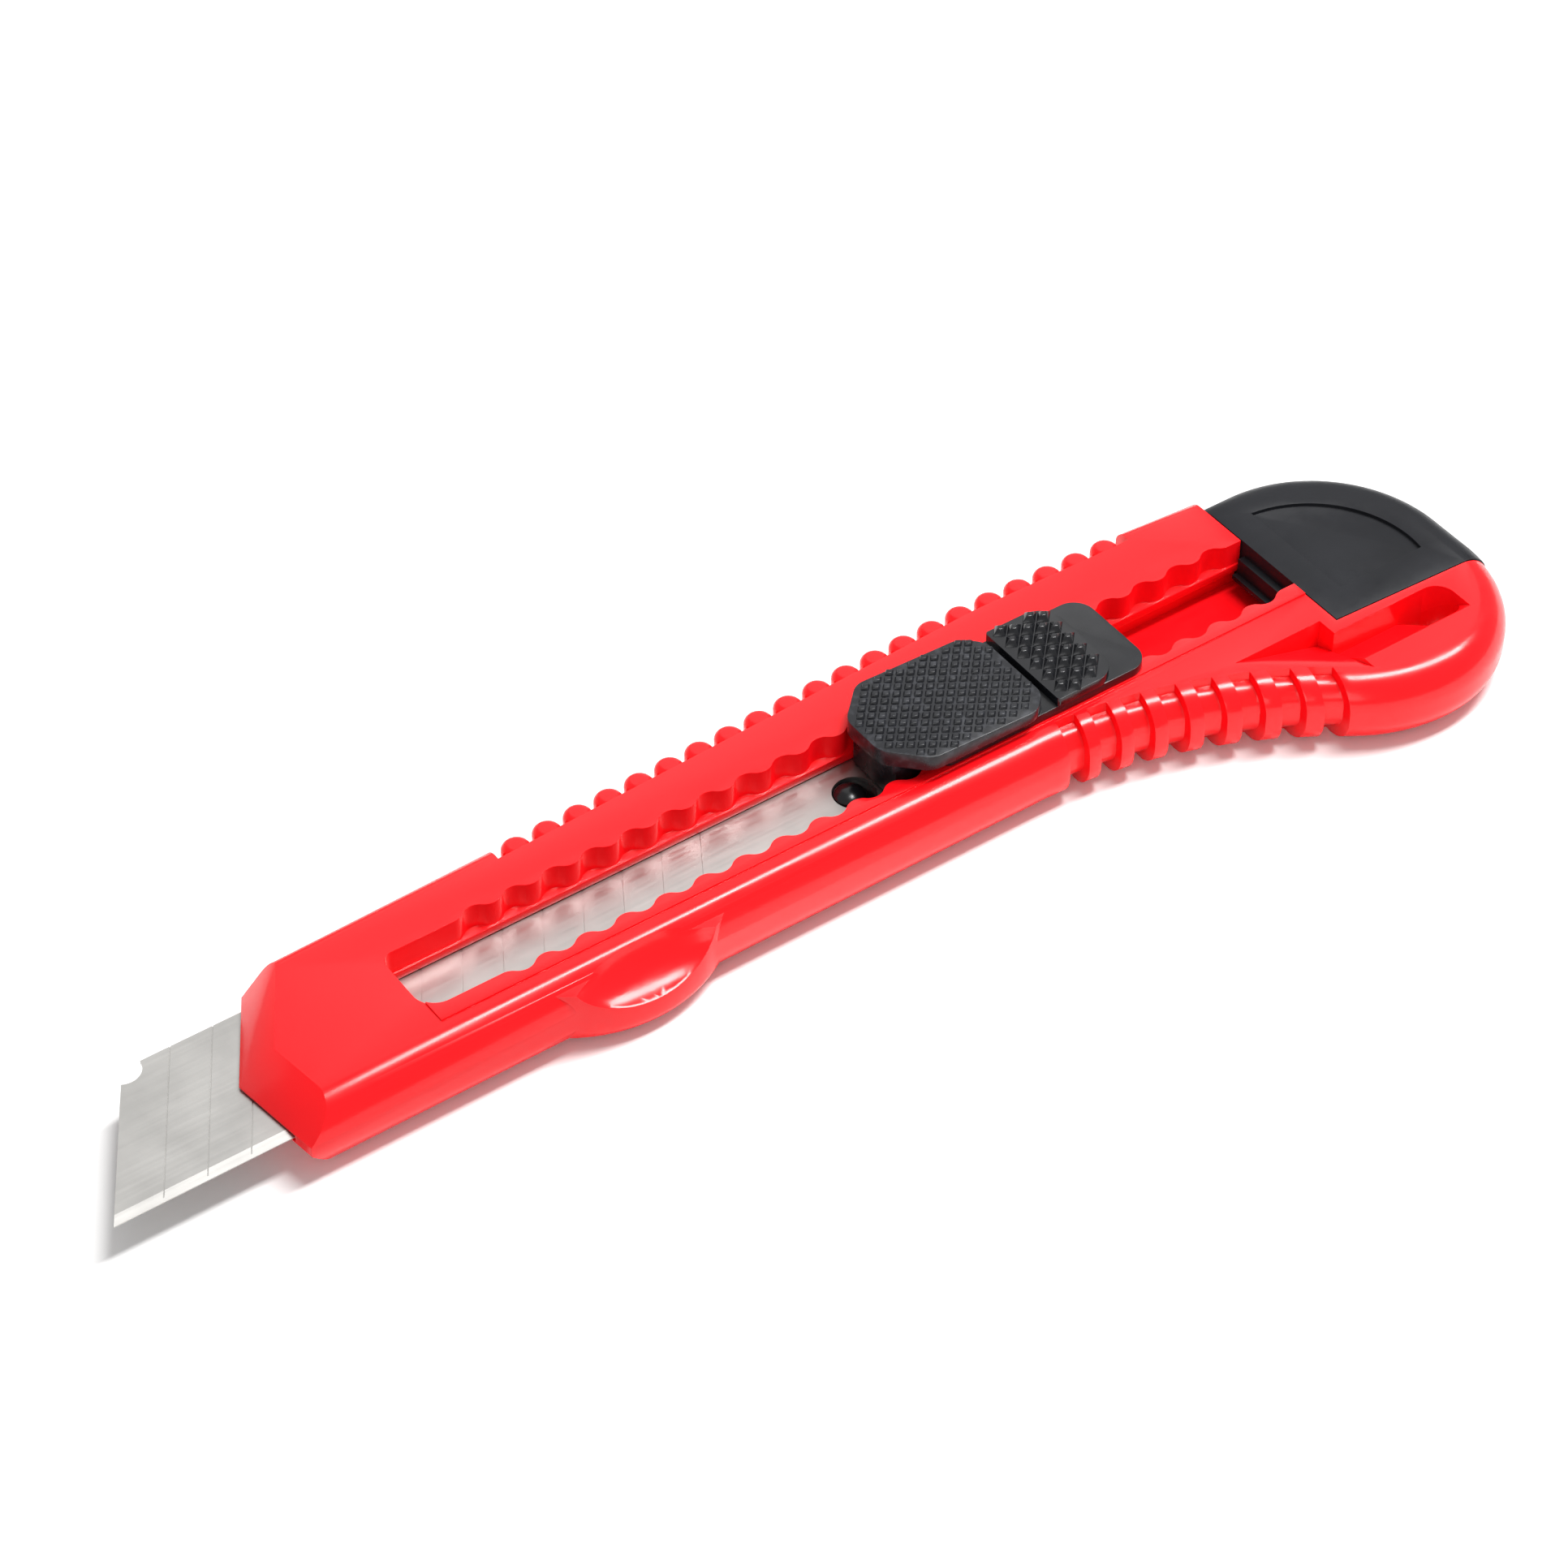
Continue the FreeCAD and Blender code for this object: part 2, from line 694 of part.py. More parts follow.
def make_grip_cutter():
    slots = []
    length = grip_reach + grip_inset + overcut * 2
    inner = grip_radius + grip_inset
    for k in range(grip_count):
        x = grip_first_x + grip_pitch * k
        span = x - grip_x
        y = grip_centre_y + root(inner * inner - span * span) + overcut
        corner_x = x - grip_width / 2 * cosine(grip_tilt) - length * sine(grip_tilt)
        corner_y = y + grip_width / 2 * sine(grip_tilt) - length * cosine(grip_tilt)
        sizes = (grip_width, length, thickness + overcut * 2)
        slots.append(make_box("GripSlot%d" % (k + 1), sizes, (corner_x, corner_y, -overcut), -grip_tilt))
    rows = boolean("MultiFuse", "GripSlots", Shapes=slots)
    return boolean("MultiCommon", "GripPockets", Shapes=[make_grip_ring(), rows])


def make_rear_ramp():
    """The rear ramp, beside the lanyard hole: it falls straight towards the spine."""
    body = new_body("RearRamp")
    ramp = new_sketch(body, "RearRampSide", "YZ_Plane", level=lanyard_end)
    steps = [
        (pocket_wall_y, thickness - pocket_depth),
        (pocket_wall_y, thickness + overcut),
        (pocket_wall_y - pocket_run, thickness + overcut),
        (pocket_wall_y - pocket_run, thickness),
    ]
    draw_loop(ramp, (pocket_wall_y - pocket_run, thickness), steps)
    block = pad(body, ramp, "RearRampBlock", lanyard_end - pocket_step_x, reverse=True)

    def on_far_rear(point, edge):
        at_the_rear = abs(point.x - lanyard_end.value) < 1e-3
        return at_the_rear and abs(point.y - pocket_wall_y.value) < 1e-3

    fillet(body, block, "RearRampRound", pocket_round, on_far_rear)
    return body


def make_front_ramp():
    """The front ramp, whose floor is hinged on a slanted line from its front corner."""
    body = new_body("FrontRamp")
    block = new_sketch(body, "FrontRampPlan", level=thickness - ramp_depth)
    steps = [
        (pocket_step_x, ramp_wall_y),
        (pocket_front, ramp_wall_y),
        (pocket_front, ramp_wall_y - ramp_reach),
        (pocket_step_x, ramp_wall_y - ramp_reach),
    ]
    draw_loop(block, (pocket_step_x, ramp_wall_y - ramp_reach), steps)
    pad(body, block, "FrontRampBlock", ramp_depth + overcut)
    floor = body.newObject("Sketcher::SketchObject", "FrontRampFloor")
    floor.AttachmentSupport = [(plane_of(body, "XZ_Plane"), "")]
    floor.MapMode = "FlatFace"
    base = Vector(pocket_front.value, thickness.value, -ramp_wall_y.value)
    floor.AttachmentOffset = Placement(base, Rotation(Vector(0, 1, 0), 90 - ramp_turn.value))
    bind(floor, "AttachmentOffset.Base.x", pocket_front)
    bind(floor, "AttachmentOffset.Base.y", thickness)
    bind(floor, "AttachmentOffset.Base.z", -ramp_wall_y)
    bind(floor, "AttachmentOffset.Rotation.Angle", 90 - ramp_turn)
    steps = [
        (-ramp_half, ramp_slope * ramp_half),
        (-ramp_half, -ramp_half),
        (ramp_half, -ramp_half),
        (ramp_half, -ramp_slope * ramp_half),
    ]
    draw_loop(floor, (ramp_half, -ramp_slope * ramp_half), steps)
    cut = body.newObject("PartDesign::Pocket", "FrontRampCut")
    cut.Profile = floor
    cut.Midplane = True
    bind(cut, "Length", ramp_half * 4)
    doc.recompute()
    return body


def make_casing():
    blank = make_casing_blank()
    dish = doc.addObject("Part::Ellipsoid", "FingerDish")
    dish.Placement.Base = Vector(bulge_x.value, 0, 0)
    bind(dish, "Radius1", dish_depth)
    bind(dish, "Radius2", dish_length)
    bind(dish, "Radius3", dish_width)
    bind(dish, "Placement.Base.x", bulge_x)
    bind(dish, "Placement.Base.y", -near_wall - dish_out)
    bind(dish, "Placement.Base.z", thickness + dish_lift)
    tools = [dish, make_grip_cutter(), make_rear_ramp(), make_front_ramp()]
    cutter = boolean("MultiFuse", "CasingCutters", Shapes=tools)
    return boolean("Cut", "Casing", Base=blank, Tool=cutter)


# ---- end cap ----
def make_end_cap():
    body = new_body("EndCapBody")
    outline = new_sketch(body, "CapOutline")
    front = seat_x + fit_gap
    cap_x = back_x - cap_radius
    top_y = cap_y + cap_radius
    end_y = seat_end_y + fit_gap
    end_drop = butt_centre_y - end_y
    end_x = butt_x + root(butt_radius * butt_radius - end_drop * end_drop)
    steps = [
        (end_x, end_y),
        ((back_x, butt_centre_y), (butt_x, butt_centre_y), 1),
        (back_x, cap_y),
        ((cap_x, top_y), (cap_x, cap_y), 1),
        (front, top_y),
        (front, seat_near_y + fit_gap),
    ]
    draw_loop(outline, (front, seat_near_y + fit_gap), steps)
    block = pad(body, outline, "CapBlock", thickness)

    def on_outer_edge(point, edge):
        inside = point.x < front.value + 1e-3 or point.y < end_y.value + seat_fall.value
        return at_level(point, 0, thickness) and not inside

    fillet(body, block, "CapRound", cap_round, on_outer_edge)

    # fan-shaped panel sunk in the top
    panel = new_sketch(body, "Panel", level=thickness)
    drop = panel_low - panel_y
    side = panel_front - panel_x
    right = (panel_x + root(panel_radius * panel_radius - drop * drop), panel_low)
    crown = (panel_front, panel_y + root(panel_radius * panel_radius - side * side))
    steps = [right, (crown, (panel_x, panel_y), 1), (panel_front, panel_low)]
    draw_loop(panel, (panel_front, panel_low), steps)
    pocket(body, panel, "PanelCut", panel_depth)

    # prongs for the casing's sockets, and the stepped tongue that closes the window
    prongs = new_sketch(body, "Prongs", "YZ_Plane", level=front)
    for side in (-1, 1):
        inner = slide_y + side * prong_inner
        outer = slide_y + side * (prong_inner + prong_width)
        low, high = (inner, outer) if side > 0 else (outer, inner)
        draw_box(prongs, (low, prong_low), (high, prong_high))
    pad(body, prongs, "ProngPad", prong_length + fit_gap, reverse=True)
    for step in (1, 2):
        tongue = new_sketch(body, "Tongue%d" % step, "YZ_Plane", level=front)
        low = (slide_y - tongue_half, wave_floor - tongue_root)
        high = (slide_y + tongue_half, thickness - tongue_drop * step)
        draw_box(tongue, low, high)
        pad(body, tongue, "TonguePad%d" % step, tongue_length * step + fit_gap, reverse=True)
    return body


# ---- blade ----
def make_blade():
    body = new_body("BladeBody")
    section = new_sketch(body, "BladeSection", "YZ_Plane", level=0)
    land = blade_thick / 8
    edge = -blade_half + edge_bevel
    steps = [
        (edge, blade_low),
        (blade_half, blade_low),
        (blade_half, blade_high),
        (edge, blade_high),
        (-blade_half, mid + land),
        (-blade_half, mid - land),
    ]
    draw_loop(section, (-blade_half, mid - land), steps)
    lean = cut_slope * blade_width
    pad(body, section, "BladeStrip", blade_length + lean)

    # both ends are snapped on the slant; the front spine corner has a round bite
    for name, x, side in (("FrontCut", dim(0), -1), ("TailCut", blade_length, 1)):
        trim = new_sketch(body, name, level=blade_high)
        far_x = x + side * (lean + overcut * 2)
        near_x = x - cut_slope
        top_x = x + lean + cut_slope
        low = -blade_half - overcut
        high = blade_half + overcut
        steps = [(top_x, high), (far_x + lean, high), (far_x, low), (near_x, low)]
        draw_loop(trim, (near_x, low), steps)
        pocket(body, trim, name + "Cut", blade_thick)
    bite = new_sketch(body, "Bite", level=blade_high)
    draw_circle(bite, (lean, blade_half), notch_radius)
    pocket(body, bite, "BiteCut", blade_thick)
    hole = new_sketch(body, "PinHole", level=blade_high)
    draw_circle(hole, (pin_x + pin_play - pin_clear, slide_y), pin_radius + pin_play)
    pocket(body, hole, "PinHoleCut", blade_thick)

    # snap lines, parallel to the front edge
    score = new_sketch(body, "Score", level=blade_high)
    half = score_width / 2
    x = score_pitch
    steps = [
        (x + half, low),
        (x + half + lean + cut_slope * 2, high),
        (x - half + lean + cut_slope * 2, high),
        (x - half, low),
    ]
    draw_loop(score, (x - half, low), steps)
    first = pocket(body, score, "ScoreCut", score_depth)
    run = score_pitch * (score_count - 1)
    linear(body, "ScoreRow", [first], (score, ["H_Axis"]), run, score_count)
    return body


# ---- blade carrier ----
def make_carrier():
    body = new_body("CarrierBody")
    plate_low = slot_low - groove_depth + running_gap
    plate_half = groove_half - running_gap
    plate = new_sketch(body, "Plate", level=plate_low)
    low = (plate_front, slide_y - plate_half)
    high = (plate_end, slide_y + plate_half)
    draw_box(plate, low, high)
    pad(body, plate, "PlatePad", blade_low - plate_low)

    # the pin that holds the blade, with a domed head
    pin = new_sketch(body, "Pin", "XZ_Plane", level=-slide_y, shift=(pin_x, 0))
    head = blade_high + pin_rise
    dome = (pin_radius * pin_radius + pin_dome * pin_dome) / (2 * pin_dome)
    steps = [
        (pin_radius, blade_low - blade_thick),
        (pin_radius, head - pin_dome),
        ((dim(0), head), (dim(0), head - dome), 1),
        (dim(0), blade_low - blade_thick),
    ]
    draw_loop(pin, (dim(0), blade_low - blade_thick), steps)
    turned = body.newObject("PartDesign::Revolution", "PinTurn")
    turned.Profile = pin
    turned.ReferenceAxis = (pin, ["V_Axis"])
    turned.Angle = 360
    doc.recompute()

    # neck through the window, the cover on the casing's face and the fixed rear pad
    neck = new_sketch(body, "Neck", level=blade_low)
    draw_box(neck, (neck_front, slide_y - neck_half), (neck_end, slide_y + neck_half))
    pad(body, neck, "NeckPad", cover_high - blade_low)
    guide_half = window_half - running_gap
    guide = new_sketch(body, "Guide", level=wave_floor + running_gap)
    draw_box(guide, (guide_front, slide_y - guide_half), (neck_end, slide_y + guide_half))
    pad(body, guide, "GuidePad", cover_high - wave_floor - running_gap)
    cover = new_sketch(body, "Cover", level=cover_low)
    rounded_plate(cover, cover_front, cover_end, cover_half, cover_front_round, cover_rear_round)
    pad(body, cover, "CoverPad", cover_thick)
    rear = new_sketch(body, "RearPad", level=cover_high)
    corners = (rear_pad_front_round, rear_pad_rear_round)
    rounded_plate(rear, rear_pad_front, rear_pad_end, rear_pad_half, *corners)
    pad(body, rear, "RearPadPad", rear_pad_height)

    # slot that the button's key travels in
    key = new_sketch(body, "KeySlot", level=cover_high)
    low = (key_front - key_travel - fit_gap, slide_y - key_half - fit_gap)
    high = (key_end + key_travel + fit_gap, slide_y + key_half + fit_gap)
    draw_box(key, low, high)
    pocket(body, key, "KeySlotCut", key_depth + fit_gap)
    return body


def rounded_plate(sketch, front, end, half, front_corner, rear_corner):
    low = slide_y - half
    high = slide_y + half
    steps = [(end - rear_corner, low)]
    steps += corner_steps((end, low), (1, 0), (0, 1), rear_corner)[1:]
    steps += corner_steps((end, high), (0, 1), (-1, 0), rear_corner)
    steps += corner_steps((front, high), (-1, 0), (0, -1), front_corner)
    steps += corner_steps((front, low), (0, -1), (1, 0), front_corner)
    draw_loop(sketch, (front + front_corner, low), steps)


# ---- thumb button ----
def make_button():
    body = new_body("ButtonBody")
    under = cover_high + running_gap
    height = thickness + button_front_height - under
    plan = new_sketch(body, "ButtonPlan", level=under)
    low = slide_y - button_half
    high = slide_y + button_half
    front_cut = button_front_corner
    rear_cut = button_rear_corner
    steps = [
        (button_end - rear_cut, low),
        (button_end, low + rear_cut),
        (button_end, high - rear_cut),
        (button_end - rear_cut, high),
        (button_front + front_cut, high),
        (button_front, high - front_cut),
        (button_front, low + front_cut),
        (button_front + front_cut, low),
    ]
    draw_loop(plan, (button_front + front_cut, low), steps)
    block = pad(body, plan, "ButtonPad", height)

    def is_upright(point, edge):
        return abs(edge.Length - height.value) < 1e-3

    fillet(body, block, "ButtonCorners", button_blend, is_upright)
    slant = new_sketch(body, "Slant", "XZ_Plane", level=-slide_y)
    front_top = (button_front, thickness + button_front_height)
    steps = [
        (button_end + overcut, thickness + button_rear_height),
        (button_end + overcut, thickness + button_front_height + overcut),
        (button_front, thickness + button_front_height + overcut),
        front_top,
    ]
    draw_loop(slant, front_top, steps)
    cut = body.newObject("PartDesign::Pocket", "SlantCut")
    cut.Profile = slant
    cut.Midplane = True
    bind(cut, "Length", button_half * 3)
    doc.recompute()

    # foot down to the casing's face, stem down to the blade, key down into the carrier
    foot_low = thickness + strip_height + fit_gap
    foot = new_sketch(body, "Foot", level=foot_low)
    draw_box(foot, (foot_front, slide_y - foot_half), (foot_end, slide_y + foot_half))
    pad(body, foot, "FootPad", under - foot_low + weld)
    stem = new_sketch(body, "Stem", level=blade_high + running_gap)
    draw_box(stem, (stem_front, slide_y - stem_half), (foot_end, slide_y + stem_half))
    pad(body, stem, "StemPad", under - blade_high - running_gap + weld)
    key = new_sketch(body, "Key", level=cover_high - key_depth)
    draw_box(key, (key_front, slide_y - key_half), (key_end, slide_y + key_half))
    pad(body, key, "KeyPad", key_depth + running_gap + weld)
    return body


# ---- lock spring ----
def make_spring():
    """A steel strip bent round the neck of the carrier, with one tooth on each arm."""
    body = new_body("SpringBody")
    strip = new_sketch(body, "SpringPlan", level=spring_low)
    inner = neck_half + fit_gap
    outer = inner + spring_thick
    front = neck_front - fit_gap - spring_thick
    tooth_out = window_half + wave_depth - running_gap
    rise = tooth_half + tooth_flank
    steps = []
    for side in (-1, 1):
        arm = [
            (front, slide_y + side * outer),
            (tooth_x - rise, slide_y + side * outer),
            (tooth_x - tooth_half, slide_y + side * tooth_out),
            (tooth_x + tooth_half, slide_y + side * tooth_out),
            (tooth_x + rise, slide_y + side * outer),
            (spring_end, slide_y + side * outer),
            (spring_end, slide_y + side * inner),
            (tooth_x + rise, slide_y + side * inner),
            (tooth_x + tooth_half, slide_y + side * (tooth_out - spring_thick)),
            (tooth_x - tooth_half, slide_y + side * (tooth_out - spring_thick)),
            (tooth_x - rise, slide_y + side * inner),
            (front + spring_thick, slide_y + side * inner),
        ]
        steps += arm if side < 0 else arm[::-1]
    draw_loop(strip, steps[-1], steps)
    pad(body, strip, "SpringPad", spring_height)
    return body


# ---- the pieces, moved to the frame at the middle of the footprint ----
makers = {
    "body": make_casing,
    "end_cap": make_end_cap,
    "blade": make_blade,
    "blade_carrier": make_carrier,
    "thumb_button": make_button,
    "lock_spring": make_spring,
}
pieces = {}
for label, maker in makers.items():
    piece = maker()
    piece.Label = label
    piece.Placement.Base = Vector(-centre_x.value, -centre_y.value, 0)
    bind(piece, "Placement.Base.x", -centre_x)
    bind(piece, "Placement.Base.y", -centre_y)
    pieces[label] = piece
doc.recompute()

for obj in doc.Objects:
    if "Invalid" in obj.State or "Error" in obj.State:
        raise RuntimeError("%s failed: %s" % (obj.Label, obj.State))
for label, piece in pieces.items():
    if piece.Shape.isNull() or not piece.Shape.isValid():
        raise RuntimeError("%s has no valid shape" % label)
os.makedirs("parts", exist_ok=True)
for label, piece in pieces.items():
    piece.Shape.exportStep(os.path.join("parts", label + ".step"))
    box = piece.Shape.optimalBoundingBox()
    print(label, len(piece.Shape.Solids), round(piece.Shape.Volume, 1), box)
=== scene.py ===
import math

import bpy
from mathutils import Matrix, Vector


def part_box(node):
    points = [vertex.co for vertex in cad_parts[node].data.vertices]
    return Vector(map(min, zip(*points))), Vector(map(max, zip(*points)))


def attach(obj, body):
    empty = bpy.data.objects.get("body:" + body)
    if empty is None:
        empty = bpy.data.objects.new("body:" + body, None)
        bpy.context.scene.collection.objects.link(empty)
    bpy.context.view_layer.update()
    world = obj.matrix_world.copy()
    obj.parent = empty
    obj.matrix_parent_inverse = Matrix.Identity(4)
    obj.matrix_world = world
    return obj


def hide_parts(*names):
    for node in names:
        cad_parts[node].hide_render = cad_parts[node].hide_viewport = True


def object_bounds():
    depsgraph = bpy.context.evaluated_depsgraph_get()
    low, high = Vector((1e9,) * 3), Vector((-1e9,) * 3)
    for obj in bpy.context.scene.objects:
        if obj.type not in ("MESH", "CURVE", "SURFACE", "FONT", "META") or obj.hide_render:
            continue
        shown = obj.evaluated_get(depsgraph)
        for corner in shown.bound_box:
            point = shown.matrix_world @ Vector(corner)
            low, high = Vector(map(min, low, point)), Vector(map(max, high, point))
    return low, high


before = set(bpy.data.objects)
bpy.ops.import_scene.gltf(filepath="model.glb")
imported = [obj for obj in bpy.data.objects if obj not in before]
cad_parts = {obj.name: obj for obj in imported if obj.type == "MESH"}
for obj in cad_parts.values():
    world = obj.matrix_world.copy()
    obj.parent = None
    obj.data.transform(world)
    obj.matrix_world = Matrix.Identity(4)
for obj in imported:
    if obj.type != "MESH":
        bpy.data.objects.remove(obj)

bl_info = {
    "name": "Snap-off knife",
    "version": (1, 0, 0),
    "blender": (4, 5, 0),
    "location": "View3D > Sidebar > Knife",
    "description": "Finishes a snap-off utility knife around its CAD frame",
    "category": "Object",
}

CAD_BOX = [list(corner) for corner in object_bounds()]
MM = 0.001

# ---- shells: what counts as one point, one flat face and one sharp edge ----
SAME_POINT = 0.002 * MM
SAME_PLANE = math.radians(0.6)
SHARP_EDGE = math.radians(32.0)
ROUND_SEGMENTS = 2

# ---- pads: the two steps of each slanted grid, and the bump that stands on it ----
# grid points tried each way from the pad's middle
GRID_REACH = 20
GRID_SHARP_EDGE = math.radians(20.0)
GRID_SMOOTH_EDGE = math.radians(40.0)
# a cut corner's margin is taken along x and y together, so it is this much wider
SLANTED_MARGIN = 1.4
# a face whose normal rises more than this looks up
LOOKS_UP = 0.9

PYRAMID_STEPS = (Vector((1.33, -0.77, 0.0)) * MM, Vector((1.33, 1.43, 0.0)) * MM)
PYRAMID_FOOT = 0.97
PYRAMID_TOP = 0.34
PYRAMID_EDGE = 0.07 * MM
REAR_PAD_START = 26.5 * MM
REAR_PAD_END = 34.9 * MM
REAR_PAD_FRONT_CORNER = 0.3 * MM
REAR_PAD_REAR_CORNER = 2.2 * MM
REAR_PAD_MARGIN = 0.45 * MM

KNURL_STEPS = (Vector((1.0, -0.62, 0.0)) * MM, Vector((0.8, 0.9, 0.0)) * MM)
KNURL_FOOT = 0.82
KNURL_TOP = 0.6
KNURL_EDGE = 0.06 * MM
KNURL_SUNK = 0.02 * MM
BUTTON_FALL = 0.9 * MM
BUTTON_FRONT_CORNER = 4.2 * MM
BUTTON_REAR_CORNER = 2.2 * MM
BUTTON_MARGIN = 0.5 * MM

# ---- shades of the fittings' plastic, next to the cap's ----
BUTTON_SHADE = 1.15
CARRIER_SHADE = 0.7

# ---- stage: floor, surrounding light and camera ----
FLOOR_SIZE = 3.0
FLOOR_COLOUR = (0.86, 0.855, 0.85)
FLOOR_ROUGHNESS = 0.9
ROOM_COLOUR = (1.0, 1.0, 1.0)
ROOM_LIGHT = 0.42
AIM_BEHIND_MIDDLE = 0.1 * MM
AIM_TOWARDS_SPINE = 0.84 * MM
CAMERA_DISTANCE = 0.4789
CAMERA_LENS = 102.77
CAMERA_SENSOR = 36.0
CAMERA_CLIP = 0.01
CAMERA_AZIMUTH = math.radians(-34.51)
CAMERA_ELEVATION = math.radians(43.45)
CAMERA_ROLL = math.radians(-0.65)


# ---- sizes and colours that a user would change ----
class KnifeSettings(bpy.types.PropertyGroup):
    edge_round: bpy.props.FloatProperty(
        name="Edge round", description="Radius left on the moulded edges",
        default=0.18 * MM, min=0.0, unit="LENGTH")
    casing_colour: bpy.props.FloatVectorProperty(
        name="Casing", description="Colour of the casing's plastic",
        default=(0.90, 0.004, 0.008), subtype="COLOR", size=3)
    fitting_colour: bpy.props.FloatVectorProperty(
        name="Fittings", description="Colour of the cap, carrier and button",
        default=(0.009, 0.0095, 0.012), subtype="COLOR", size=3)
    # colour of the paler specks on the thumb button: painted glints
    glinting_colour: bpy.props.FloatVectorProperty(
        name="Glinting spots", description="Colour of the button's rubbed spots",
        default=(0.07, 0.073, 0.085), subtype="COLOR", size=3)
    steel_colour: bpy.props.FloatVectorProperty(
        name="Steel", description="Colour of the ground blade",
        default=(0.52, 0.51, 0.49), subtype="COLOR", size=3)
    spring_colour: bpy.props.FloatVectorProperty(
        name="Spring", description="Colour of the spring's rolled strip",
        default=(0.5, 0.5, 0.51), subtype="COLOR", size=3)
    spring_shine: bpy.props.FloatVectorProperty(
        name="Spring shine", description="Colour of the strip's brighter streaks",
        default=(0.64, 0.64, 0.65), subtype="COLOR", size=3)
    knurl_height: bpy.props.FloatProperty(
        name="Knurl height", description="Height of the thumb button's bumps",
        default=0.34 * MM, min=0.0, unit="LENGTH")
    pyramid_height: bpy.props.FloatProperty(
        name="Pyramid height", description="Height of the rear pad's pyramids",
        default=0.6 * MM, min=0.0, unit="LENGTH")


# ---- helpers ----
def deselect():
    bpy.ops.object.select_all(action="DESELECT")


def make_active(obj):
    deselect()
    obj.select_set(True)
    bpy.context.view_layer.objects.active = obj


def add_object(name, data):
    obj = bpy.data.objects.new(name, data)
    bpy.context.scene.collection.objects.link(obj)
    return obj


def round_edges(obj, width, angle):
    """Bevel the edges sharper than the angle, and keep the result in the mesh."""
    make_active(obj)
    bevel = obj.modifiers.new("Bevel", "BEVEL")
    bevel.width = width
    bevel.segments = ROUND_SEGMENTS
    bevel.limit_method = "ANGLE"
    bevel.angle_limit = angle
    bevel.offset_type = "OFFSET"
    bpy.ops.object.modifier_apply(modifier=bevel.name)


def give_material(obj, material):
    obj.data.materials.clear()
    obj.data.materials.append(material)


def scaled(colour, factor):
    return tuple(min(1.0, part * factor) for part in colour)


# ---- material parts: every pattern is noise on object coordinates ----
def new_material(name):
    material = bpy.data.materials.new(name)
    material.use_nodes = True
    nodes = material.node_tree.nodes
    return material, nodes, material.node_tree.links, nodes["Principled BSDF"]


def object_noise(nodes, links, scale, detail, stretch=(1.0, 1.0, 1.0)):
    """Noise on object coordinates, scaled along the axes; returns its output."""
    coordinates = nodes.new("ShaderNodeTexCoord")
    mapping = nodes.new("ShaderNodeMapping")
    mapping.inputs["Scale"].default_value = stretch
    noise = nodes.new("ShaderNodeTexNoise")
    noise.inputs["Scale"].default_value = scale
    noise.inputs["Detail"].default_value = detail
    links.new(coordinates.outputs["Object"], mapping.inputs["Vector"])
    links.new(mapping.outputs["Vector"], noise.inputs["Vector"])
    return noise.outputs["Fac"]


def spread(nodes, links, source, low, high, start=0.3, end=0.7):
    """Map the source's range start..end to low..high."""
    ramp = nodes.new("ShaderNodeMapRange")
    ramp.inputs["From Min"].default_value = start
    ramp.inputs["From Max"].default_value = end
    ramp.inputs["To Min"].default_value = low
    ramp.inputs["To Max"].default_value = high
    links.new(source, ramp.inputs["Value"])
    return ramp.outputs["Result"]


def tint(nodes, links, shader, factor, first, second):
    """Colour the surface from the first colour to the second by the factor."""
    mix = nodes.new("ShaderNodeMix")
    mix.data_type = "RGBA"
    mix.inputs["A"].default_value = (*first, 1.0)
    mix.inputs["B"].default_value = (*second, 1.0)
    links.new(factor, mix.inputs["Factor"])
    links.new(mix.outputs["Result"], shader.inputs["Base Color"])


def shade(nodes, links, shader, factor, colour, start, end):
    """Colour the surface from start to end times the colour by the factor."""
    tint(nodes, links, shader, factor, scaled(colour, start), scaled(colour, end))


def add_grain(nodes, links, shader, source, depth, strength):
    """Let the source raise and lower the surface's shading by the depth."""
    bump = nodes.new("ShaderNodeBump")
    bump.inputs["Distance"].default_value = depth
    bump.inputs["Strength"].default_value = strength
    links.new(source, bump.inputs["Height"])
    links.new(bump.outputs["Normal"], shader.inputs["Normal"])


# ---- materials ----
def casing_plastic(settings):
    """Glossy moulded plastic with faint flow marks and handling scratches."""
    material, nodes, links, shader = new_material("casing_plastic")
    flow = object_noise(nodes, links, scale=45.0, detail=2.0, stretch=(0.35, 1.0, 1.0))
    marks = spread(nodes, links, flow, low=0.0, high=1.0)
    shade(nodes, links, shader, marks, settings.casing_colour, start=0.94, end=1.05)
    wear = object_noise(nodes, links, scale=700.0, detail=4.0, stretch=(0.25, 1.0, 1.0))
    links.new(spread(nodes, links, wear, low=0.17, high=0.25), shader.inputs["Roughness"])
    grain = object_noise(nodes, links, scale=900.0, detail=2.0)
    add_grain(nodes, links, shader, grain, depth=0.004 * MM, strength=0.5)
    shader.inputs["IOR"].default_value = 1.5
    shader.inputs["Specular IOR Level"].default_value = 0.35
    shader.inputs["Coat Weight"].default_value = 0.08
    shader.inputs["Coat Roughness"].default_value = 0.08
    shader.inputs["Subsurface Weight"].default_value = 0.04
    shader.inputs["Subsurface Radius"].default_value = (1.2 * MM, 0.3 * MM, 0.3 * MM)
    return material


